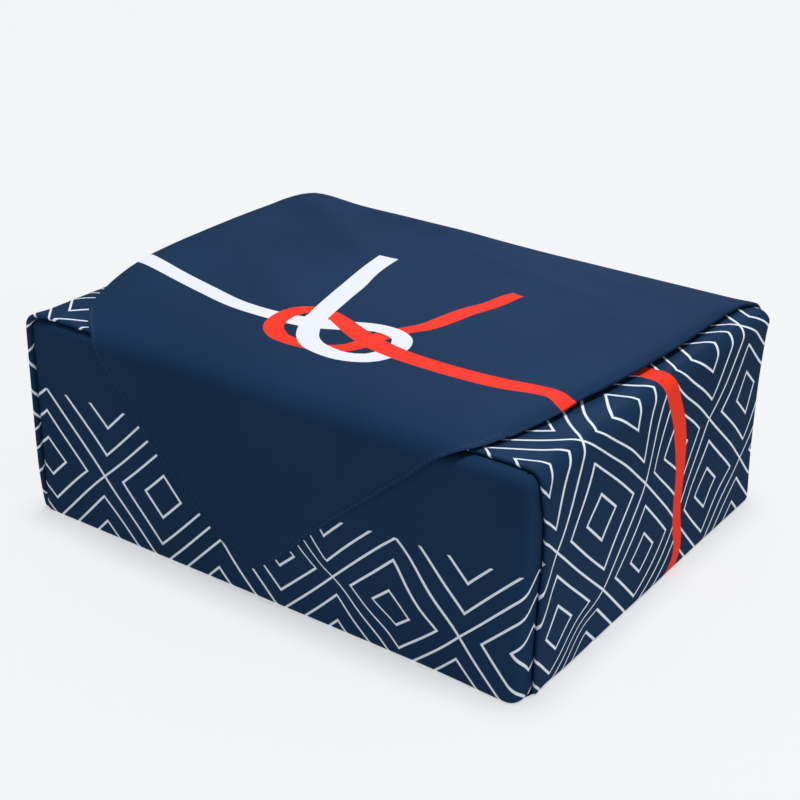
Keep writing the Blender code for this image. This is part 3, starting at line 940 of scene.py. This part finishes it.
sideCord = [
    (6, -12, 9), (12, -7, 9), (19, -2.5, 8.4), (24.6, 2, 7.6), (28.4, 7, 7.6), (29.2, 13, 8),
    (27.2, 23, 8.6), (26.2, 34, 8.6), (26.6, 44, 8.6), (25.6, 54, 8.4), (23.2, 64, 8.4), (19.2, 75, 9),
    (13.2, 86.6, 9.6),
]
cords = dict(
    redUnder=dict(colour="red", points=onFlap([
        (-28.7, -51.6, 9), (-25, -57.4, 8.6), (-18, -62, 8), (-7, -63.3, 6.6), (5, -60.6, 7),
        (12, -54.6, 7.5), (15, -45, 8.4), (16.4, -35, 8), (20.6, -24.4, 7), (25.2, -15, 7.8),
        (27.4, -3, 8.8), (29.2, 9, 8.6), (33, 22, 7.8), (35, 32, 7.8), (37, 40.4, 6.8)])),
    whiteUnder=dict(colour="white", points=onFlap([
        (-150, -20.6, 9.5), (-127.5, -27.3, 9.4), (-101.5, -33.8, 9), (-77, -40.2, 8.8),
        (-57, -44.9, 8.4), (-36, -46.2, 8), (-21, -44.6, 9.5), (-8, -39.2, 9.8), (2.5, -32.8, 9),
        (9.6, -29.7, 8.6), (17, -29.5, 8.6), (24.4, -32.8, 8.6), (28.5, -40.2, 9), (28.7, -49.6, 9),
        (24.8, -58.2, 8.6), (15.4, -62.8, 8.4), (5, -62.4, 9), (-3, -59.6, 9.5), (-9.4, -53.8, 9.6),
        (-14.6, -45.2, 9.4), (-17.6, -36.5, 9.4)])),
    redOver=dict(colour="red", points=onFlap([
        (135, -38, 9), (121, -43, 10.5), (111.5, -45, 10), (105, -43.4, 7.8), (98, -44.4, 7.8),
        (82.6, -47.1, 9.6), (59, -48.1, 9.6), (40, -47.7, 9.8), (28, -46.3, 10.4), (16, -43.4, 10.6),
        (5, -39, 10), (-5, -34, 9), (-14, -30, 7.6), (-21, -29.2, 7), (-26, -32.6, 7.4),
        (-29.4, -40, 8.6), (-29.6, -48, 9), (-26.2, -56, 8.8), (-18.4, -62, 8)])),
    whiteOver=dict(colour="white", points=onFlap([
        (-9.4, -53.8, 9.6), (-14.6, -45.2, 9.4), (-18.2, -34.6, 9.2), (-22.5, -20.5, 10),
        (-26.2, -7, 10.4), (-29.4, 6, 10.6), (-33.4, 20, 9.8), (-36.3, 32.7, 9.8), (-38.2, 45.4, 10)])),
    redSide=dict(colour="red", points=onSide(rightCloth, sideCord + [
        (9, 96, 10), (8, 104, 10), (7.4, 112, 10), (6, 130, 10), (4, 150, 10), (2, 200, 10)])),
    whiteSide=dict(colour="white", points=onSide(leftCloth, sideCord + [
        (6, 96, 10), (2, 104, 10), (-1, 112, 10), (-6, 130, 10), (-10, 150, 10), (-14, 200, 10)])),
)


cordFit = dict(
    spacing=0.0015,  # of the samples along a curve
    margin=0.020,  # round the curve, in which the cloth's places are looked at
    runOn=0.012,  # past its ends
    far=9.0,  # what the places outside are given
)


def smoothLine(points, spacing):
    # a smooth curve through a cord's points, sampled evenly: x, y and width
    rows = np.array(points)
    padded = np.vstack([2 * rows[0] - rows[1], rows, 2 * rows[-1] - rows[-2]])
    found = []
    for before, start, end, after in zip(padded, padded[1:], padded[2:], padded[3:]):
        count = max(2, int(np.linalg.norm(end[:2] - start[:2]) / spacing))
        t = (np.arange(count) / count)[:, None]
        found.append(0.5 * (
            2 * start + (end - before) * t + (2 * before - 5 * start + 4 * end - after) * t**2
            + (3 * start - before - 3 * end + after) * t**3))
    return np.vstack(found + [rows[-1:]])


def cordPlaces(flats, points):
    # for each place on the cloth: its share along the cord, and its distance across in half widths
    line = smoothLine(points, cordFit["spacing"])
    starts, ends = line[:-1, :2], line[1:, :2]
    runs = ends - starts
    lengths = np.linalg.norm(runs, axis=1)
    passed = np.concatenate([[0], np.cumsum(lengths)])
    along = np.full(len(flats), cordFit["far"])
    across = np.full(len(flats), cordFit["far"])
    low, high = line[:, :2].min(0) - cordFit["margin"], line[:, :2].max(0) + cordFit["margin"]
    near = np.nonzero(((flats > low) & (flats < high)).all(1))[0]
    for index in near:
        gaps = flats[index] - starts
        share = (gaps * runs).sum(1) / lengths**2
        limited = np.clip(share, 0, 1)
        away = np.linalg.norm(gaps - runs * limited[:, None], axis=1)
        best = int(away.argmin())
        atEnd = best in (0, len(runs) - 1)
        way = share[best] if atEnd else limited[best]
        side = abs(gaps[best][0] * runs[best][1] - gaps[best][1] * runs[best][0]) / lengths[best]
        justPast = atEnd and abs(share[best] - limited[best]) * lengths[best] < cordFit["runOn"]
        distance = side if justPast else away[best]
        wide = mix(line[best, 2], line[best + 1, 2], limited[best]) / 2
        along[index] = (passed[best] + way * lengths[best]) / passed[-1]
        across[index] = min(distance / wide, cordFit["far"])
    return along, across


def makeClothMesh():
    net = Net()
    row, start = makeWalls(net)
    makeFrontTop(net, row, start)
    right = row[start["front right"] + gussetReturn : start["back right"] + vertexExtra]
    makeWingTop(net, right, rightWall, rightCloth, rightWing, rightBehindAt, folds["rightPuff"])
    left = row[start["back left"] + gussetColumns - vertexExtra : len(row) - gussetReturn]
    makeWingTop(net, left, leftWall, leftCloth, leftWing, leftBehindAt, folds["leftPuff"])
    flapBelow = row[start["back right"] + gussetReturn : start["left"] - gussetReturn]
    hems = makeFlap(net, flapBelow)
    mesh = bpy.data.meshes.new("cloth")
    mesh.from_pydata(net.points, [], net.faces)
    flats = np.array(net.flats)

    # the print's map: the flat square, its sides along the map's
    layerMap = mesh.uv_layers.new(name="flatCloth")
    corners = np.zeros(len(mesh.loops), dtype=np.int32)
    mesh.loops.foreach_get("vertex_index", corners)
    across = (flats[:, 0] + flats[:, 1]) / math.sqrt(2) / cloth["side"] + 0.5
    along = (flats[:, 1] - flats[:, 0]) / math.sqrt(2) / cloth["side"] + 0.5
    layerMap.data.foreach_set("uv", np.stack([across[corners], along[corners]], 1).ravel())
    for name, cord in cords.items():
        ways, gaps = cordPlaces(flats, cord["points"])
        stored = mesh.attributes.new(name, "FLOAT_VECTOR", "POINT")
        stored.data.foreach_set("vector", np.stack([ways, gaps, np.zeros(len(ways))], 1).ravel())
    return mesh, hems


def plainMesh(made):
    # the evaluated mesh, with no modifier left on the object
    bpy.context.view_layer.update()
    graph = bpy.context.evaluated_depsgraph_get()
    seen = made.evaluated_get(graph)
    mesh = bpy.data.meshes.new_from_object(seen, preserve_all_data_layers=True, depsgraph=graph)
    made.modifiers.clear()
    made.data = mesh


clothMesh, hemPaths = makeClothMesh()
wrap = bpy.data.objects.new("furoshiki", clothMesh)
bpy.context.scene.collection.objects.link(wrap)
shell = wrap.modifiers.new("thickness", "SOLIDIFY")
shell.thickness = cloth["thickness"]
shell.offset = 0.0
shell.use_even_offset = True
plainMesh(wrap)
wrap.data.shade_smooth()
wrap.data.set_sharp_from_angle(angle=math.radians(cloth["sharpFrom"]))
print("cloth folded:", len(wrap.data.polygons), "faces")


def linear(*colour):
    # a screen colour, 0 to 255 in each channel, as linear light
    def channel(share):
        return share / 12.92 if share <= 0.04045 else ((share + 0.055) / 1.055) ** 2.4

    return (*(channel(value / 255) for value in colour), 1.0)


mixSockets = dict(under=6, over=7, result=2)  # the Mix node's places for colours
principledNames = dict(
    colour="Base Color",
    roughness="Roughness",
    specular="Specular IOR Level",
    glow="Emission Color",
    glowStrength="Emission Strength",
)


class Shader:
    # a material's node tree, and short ways to add to it
    def __init__(self, name):
        self.material = bpy.data.materials.new(name)
        self.material.use_nodes = True
        self.tree = self.material.node_tree
        self.principled = self.tree.nodes["Principled BSDF"]

    def node(self, kind, **settings):
        made = self.tree.nodes.new(kind)
        for name, value in settings.items():
            setattr(made, name, value)
        return made

    def give(self, socket, value):
        if isinstance(value, bpy.types.NodeSocket):
            self.tree.links.new(value, socket)
        else:
            socket.default_value = value

    def math(self, operation, *values):
        made = self.node("ShaderNodeMath", operation=operation)
        for socket, value in zip(made.inputs, values):
            self.give(socket, value)
        return made.outputs[0]

    def dot(self, vector, direction):
        made = self.node("ShaderNodeVectorMath", operation="DOT_PRODUCT")
        self.give(made.inputs[0], vector)
        made.inputs[1].default_value = direction
        return made.outputs["Value"]

    def step(self, value, start, end):
        made = self.node("ShaderNodeMapRange", interpolation_type="SMOOTHSTEP")
        self.give(made.inputs["Value"], value)
        made.inputs["From Min"].default_value = start
        made.inputs["From Max"].default_value = end
        return made.outputs["Result"]

    def blend(self, factor, under, over):
        made = self.node("ShaderNodeMix", data_type="RGBA")
        self.give(made.inputs["Factor"], factor)
        self.give(made.inputs[mixSockets["under"]], under)
        self.give(made.inputs[mixSockets["over"]], over)
        return made.outputs[mixSockets["result"]]

    def parts(self, vector):
        made = self.node("ShaderNodeSeparateXYZ")
        self.give(made.inputs[0], vector)
        return made.outputs

    def map(self, name):
        return self.node("ShaderNodeUVMap", uv_map=name).outputs["UV"]

    def attribute(self, name):
        return self.node("ShaderNodeAttribute", attribute_name=name).outputs["Vector"]

    def noise(self, vector, scale, detail=2.0, roughness=0.5):
        made = self.node("ShaderNodeTexNoise")
        self.give(made.inputs["Vector"], vector)
        made.inputs["Scale"].default_value = scale
        made.inputs["Detail"].default_value = detail
        made.inputs["Roughness"].default_value = roughness
        return made.outputs["Fac"]

    def bump(self, height, strength, distance):
        made = self.node("ShaderNodeBump")
        made.inputs["Strength"].default_value = strength
        made.inputs["Distance"].default_value = distance
        self.give(made.inputs["Height"], height)
        self.give(self.principled.inputs["Normal"], made.outputs["Normal"])

    def finish(self, **values):
        for name, value in values.items():
            self.principled.inputs[principledNames[name]].default_value = value
        return self.material


printColours = dict(
    navy=linear(25, 51, 80),
    navyLight=linear(29, 56, 87),
    white=linear(240, 243, 250),
    line=linear(234, 245, 255),
    red=linear(255, 62, 40),
    lineWidth=0.0010,
    rings=(0.16, 0.355),  # the diamonds' lines inside each cell, in shares of the pitch from its border
    frontEnd=-0.5,  # the printed band's ends, in lattice steps from the first crossing
    backEnd=4.5,
    lineBlur=0.15,  # of half a line's width
    cordBlur=0.03,  # of half a cord's width
    toneScale=9.0,
    yarn=0.00042,
    weaveStrength=0.25,
    weaveDepth=0.00003,
    roughness=0.55,
    specular=0.02,
)


def latticeMask(shader, uv):
    # nested diamonds: rising and falling coordinates, then the ring that a place lies in
    toCloth = cloth["side"] / math.sqrt(2)
    rising = (latticeAcross + latticeUp) / lattice["pitch"] ** 2
    falling = (latticeAcross - latticeUp) / lattice["pitch"] ** 2
    start = Vector((lattice["startX"], lattice["startY"]))
    found = []
    for direction in (rising, falling):
        alongU = (direction.x + direction.y) * toCloth
        alongV = (direction.y - direction.x) * toCloth
        shift = -(alongU + alongV) / 2 - direction.dot(start)
        found.append(shader.math("ADD", shader.dot(uv, (alongU, alongV, 0)), shift))
    gaps = []
    for value in found:
        inCell = shader.math("SUBTRACT", shader.math("FRACT", value), 0.5)
        gaps.append(shader.math("SUBTRACT", 0.5, shader.math("ABSOLUTE", inCell)))
    fromBorder = shader.math("MINIMUM", *gaps)
    away = fromBorder
    for ring in printColours["rings"]:
        fromRing = shader.math("ABSOLUTE", shader.math("SUBTRACT", fromBorder, ring))
        away = shader.math("MINIMUM", away, fromRing)
    half = printColours["lineWidth"] / 2 / (lattice["pitch"] / math.sqrt(2))
    blur = half * printColours["lineBlur"]
    line = shader.math("SUBTRACT", 1.0, shader.step(away, half - blur, half + blur))
    up = shader.math("MULTIPLY", shader.math("SUBTRACT", *found), 0.5)
    pastFront = shader.math("GREATER_THAN", up, printColours["frontEnd"])
    beforeBack = shader.math("LESS_THAN", up, printColours["backEnd"])
    return shader.math("MULTIPLY", line, shader.math("MULTIPLY", pastFront, beforeBack))


def cordMask(shader, name):
    along, across, _ = shader.parts(shader.attribute(name))
    blur = printColours["cordBlur"]
    wide = shader.math("SUBTRACT", 1.0, shader.step(across, 1 - blur, 1 + blur))
    begun = shader.math("GREATER_THAN", along, 0.0)
    ended = shader.math("LESS_THAN", along, 1.0)
    return shader.math("MULTIPLY", wide, shader.math("MULTIPLY", begun, ended))


def clothMaterial():
    shader = Shader("printed cloth")
    uv = shader.map("flatCloth")
    place = shader.node("ShaderNodeTexCoord").outputs["Object"]
    tone = shader.step(shader.noise(place, printColours["toneScale"], 3.0), 0.3, 0.7)
    colour = shader.blend(tone, printColours["navy"], printColours["navyLight"])
    colour = shader.blend(latticeMask(shader, uv), colour, printColours["line"])
    for name, cord in cords.items():
        colour = shader.blend(cordMask(shader, name), colour, printColours[cord["colour"]])
    shader.give(shader.principled.inputs["Base Color"], colour)

    # plain weave, its yarns along the square's sides
    count = 2 * math.pi * cloth["side"] / printColours["yarn"]
    across, along, _ = shader.parts(uv)
    yarns = [shader.math("SINE", shader.math("MULTIPLY", way, count)) for way in (across, along)]
    weave = shader.math("MULTIPLY", *yarns)
    shader.bump(weave, printColours["weaveStrength"], printColours["weaveDepth"])
    return shader.finish(roughness=printColours["roughness"], specular=printColours["specular"])


wrap.data.materials.clear()
wrap.data.materials.append(clothMaterial())
print("cloth printed")


# The hems' stitches
stitches = dict(
    length=0.0019,
    pitch=0.0027,
    thickness=0.00024,
    colour=linear(28, 52, 86),
    fuzz=linear(52, 78, 116),
    fibreScale=2600.0,
    roughness=0.55,
)


def threadMaterial():
    shader = Shader("navy thread")
    place = shader.node("ShaderNodeTexCoord").outputs["Object"]
    fibre = shader.noise(place, stitches["fibreScale"], 1.0)
    colour = shader.blend(fibre, stitches["colour"], stitches["fuzz"])
    shader.give(shader.principled.inputs["Base Color"], colour)
    return shader.finish(roughness=stitches["roughness"])


def stitchTree():
    # a thread's stitches along a line: even points, a small rounded stick on each, made one mesh
    tree = bpy.data.node_groups.new("hem stitches", "GeometryNodeTree")
    face = tree.interface
    face.new_socket("Geometry", in_out="INPUT", socket_type="NodeSocketGeometry")
    for name in ("Length", "Pitch", "Thickness"):
        face.new_socket(name, in_out="INPUT", socket_type="NodeSocketFloat")
    face.new_socket("Material", in_out="INPUT", socket_type="NodeSocketMaterial")
    face.new_socket("Geometry", in_out="OUTPUT", socket_type="NodeSocketGeometry")

    def node(kind, **settings):
        made = tree.nodes.new(kind)
        for name, value in settings.items():
            setattr(made, name, value)
        return made

    def link(source, target):
        tree.links.new(source, target)

    given = node("NodeGroupInput")
    result = node("NodeGroupOutput")
    toCurve = node("GeometryNodeMeshToCurve")
    even = node("GeometryNodeResampleCurve", mode="LENGTH")
    link(given.outputs["Geometry"], toCurve.inputs["Mesh"])
    link(toCurve.outputs["Curve"], even.inputs["Curve"])
    link(given.outputs["Pitch"], even.inputs["Length"])
    stick = node("GeometryNodeMeshIcoSphere")
    stick.inputs["Radius"].default_value = 0.5  # 1 across, for the scale to size
    stick.inputs["Subdivisions"].default_value = 2
    size = node("ShaderNodeCombineXYZ")
    link(given.outputs["Thickness"], size.inputs["X"])
    link(given.outputs["Thickness"], size.inputs["Y"])
    link(given.outputs["Length"], size.inputs["Z"])
    shaped = node("GeometryNodeTransform")
    link(stick.outputs["Mesh"], shaped.inputs["Geometry"])
    link(size.outputs["Vector"], shaped.inputs["Scale"])
    turn = node("FunctionNodeAlignRotationToVector", axis="Z")
    link(node("GeometryNodeInputTangent").outputs["Tangent"], turn.inputs["Vector"])
    placed = node("GeometryNodeInstanceOnPoints")
    link(even.outputs["Curve"], placed.inputs["Points"])
    link(shaped.outputs["Geometry"], placed.inputs["Instance"])
    link(turn.outputs["Rotation"], placed.inputs["Rotation"])
    real = node("GeometryNodeRealizeInstances")
    finish = node("GeometryNodeSetMaterial")
    link(placed.outputs["Instances"], real.inputs["Geometry"])
    link(real.outputs["Geometry"], finish.inputs["Geometry"])
    link(given.outputs["Material"], finish.inputs["Material"])
    link(finish.outputs["Geometry"], result.inputs["Geometry"])
    return tree


def makeStitches(name, paths, material):
    points, edges = [], []
    for path in paths:
        start = len(points)
        points += [tuple(point) for point in path]
        edges += [(index, index + 1) for index in range(start, len(points) - 1)]
    mesh = bpy.data.meshes.new(name)
    mesh.from_pydata(points, edges, [])
    made = bpy.data.objects.new(name, mesh)
    bpy.context.scene.collection.objects.link(made)
    modifier = made.modifiers.new("stitches", "NODES")
    modifier.node_group = stitchTree()
    values = {name: stitches[name.lower()] for name in ("Length", "Pitch", "Thickness")}
    values["Material"] = material
    for item in modifier.node_group.interface.items_tree:
        if item.in_out == "INPUT" and item.name in values:
            modifier[item.identifier] = values[item.name]
    plainMesh(made)
    made.data.shade_smooth()
    return made


hemStitches = makeStitches("hemStitches", list(hemPaths.values()), threadMaterial())
print("hems stitched:", len(hemStitches.data.polygons), "faces")


# The carton under the cloth: grey board with long fibres
board = dict(
    dark=linear(186, 178, 164),
    pale=linear(206, 199, 187),
    fibreScale=120.0,
    fibreStretch=(1.0, 6.0, 1.0),
    bumpStrength=0.3,
    bumpDepth=0.0001,
    roughness=0.85,
)


def boardMaterial():
    shader = Shader("grey board")
    place = shader.node("ShaderNodeTexCoord").outputs["Object"]
    stretch = shader.node("ShaderNodeMapping")
    stretch.inputs["Scale"].default_value = board["fibreStretch"]
    shader.give(stretch.inputs["Vector"], place)
    fibre = shader.noise(stretch.outputs["Vector"], board["fibreScale"], 4.0)
    shader.give(shader.principled.inputs["Base Color"], shader.blend(fibre, board["dark"], board["pale"]))
    shader.bump(fibre, board["bumpStrength"], board["bumpDepth"])
    return shader.finish(roughness=board["roughness"])


greyBoard = boardMaterial()
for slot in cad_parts["carton"].material_slots:
    slot.material = greyBoard
print("carton finished")


# Floor, light and background
studio = dict(
    floorSize=8.0,
    floorColour=(0.40, 0.404, 0.408, 1.0),
    floorGlow=(0.497, 0.506, 0.520, 1.0),  # a light table: the floor's own light keeps it even
    floorRoughness=0.8,
    skyColour=(0.985, 0.99, 1.0, 1.0),
    sky=0.25,  # as light
    skySeen=0.90,  # and where it is seen itself, as pale as the floor
    overhead=dict(kind="SUN", place=(-0.02, 0.10, 2.0), aim=(0.0, 0.0, 0.0), power=2.33),
    overheadAngle=18.0,
    behind=dict(kind="AREA", place=(-0.48, 1.34, 1.12), aim=(0.1, 0.0, 0.1), power=13.0),
    behindColour=(0.62, 0.76, 1.36),
    beside=dict(kind="AREA", place=(1.5, 0.1, 0.5), aim=(0.12, 0.0, 0.05), power=3.0),
    lampSize=1.0,
)


def makeFloor():
    half = studio["floorSize"] / 2
    mesh = bpy.data.meshes.new("floor")
    corners = [(-half, -half, 0), (half, -half, 0), (half, half, 0), (-half, half, 0)]
    mesh.from_pydata(corners, [], [(0, 1, 2, 3)])
    floor = bpy.data.objects.new("floor", mesh)
    bpy.context.scene.collection.objects.link(floor)
    mesh.materials.append(Shader("pale floor").finish(
        colour=studio["floorColour"], glow=studio["floorGlow"], glowStrength=1.0,
        roughness=studio["floorRoughness"], specular=0.0))
    floor.visible_glossy = False  # or it veils the walls


def makeSky():
    world = bpy.data.worlds.new("studio")
    world.use_nodes = True
    tree = world.node_tree
    backdrop = tree.nodes["Background"]
    backdrop.inputs["Color"].default_value = studio["skyColour"]
    ray = tree.nodes.new("ShaderNodeLightPath")
    strength = tree.nodes.new("ShaderNodeMapRange")
    strength.inputs["To Min"].default_value = studio["sky"]
    strength.inputs["To Max"].default_value = studio["skySeen"]
    tree.links.new(ray.outputs["Is Camera Ray"], strength.inputs["Value"])
    tree.links.new(strength.outputs["Result"], backdrop.inputs["Strength"])
    bpy.context.scene.world = world


def makeLamp(name):
    lamp = studio[name]
    light = bpy.data.lights.new(name, lamp["kind"])
    light.energy = lamp["power"]
    if lamp["kind"] == "AREA":
        light.shape = "DISK"
        light.size = studio["lampSize"]
    made = bpy.data.objects.new(name, light)
    made.location = lamp["place"]
    made.rotation_euler = (Vector(lamp["aim"]) - Vector(lamp["place"])).to_track_quat("-Z", "Y").to_euler()
    bpy.context.scene.collection.objects.link(made)
    return made


def makeStudio():
    makeFloor()
    makeSky()
    overhead = makeLamp("overhead")
    overhead.data.angle = math.radians(studio["overheadAngle"])
    behind = makeLamp("behind")
    behind.data.color = studio["behindColour"]
    behind.visible_diffuse = False  # it is there for the cloth's sheen
    beside = makeLamp("beside")
    beside.visible_glossy = False  # it lifts the print on the right wall
    bpy.context.scene.view_settings.view_transform = "Standard"


makeStudio()
print("studio lit")

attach(wrap, "root")
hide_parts("cloth")
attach(hemStitches, "root")
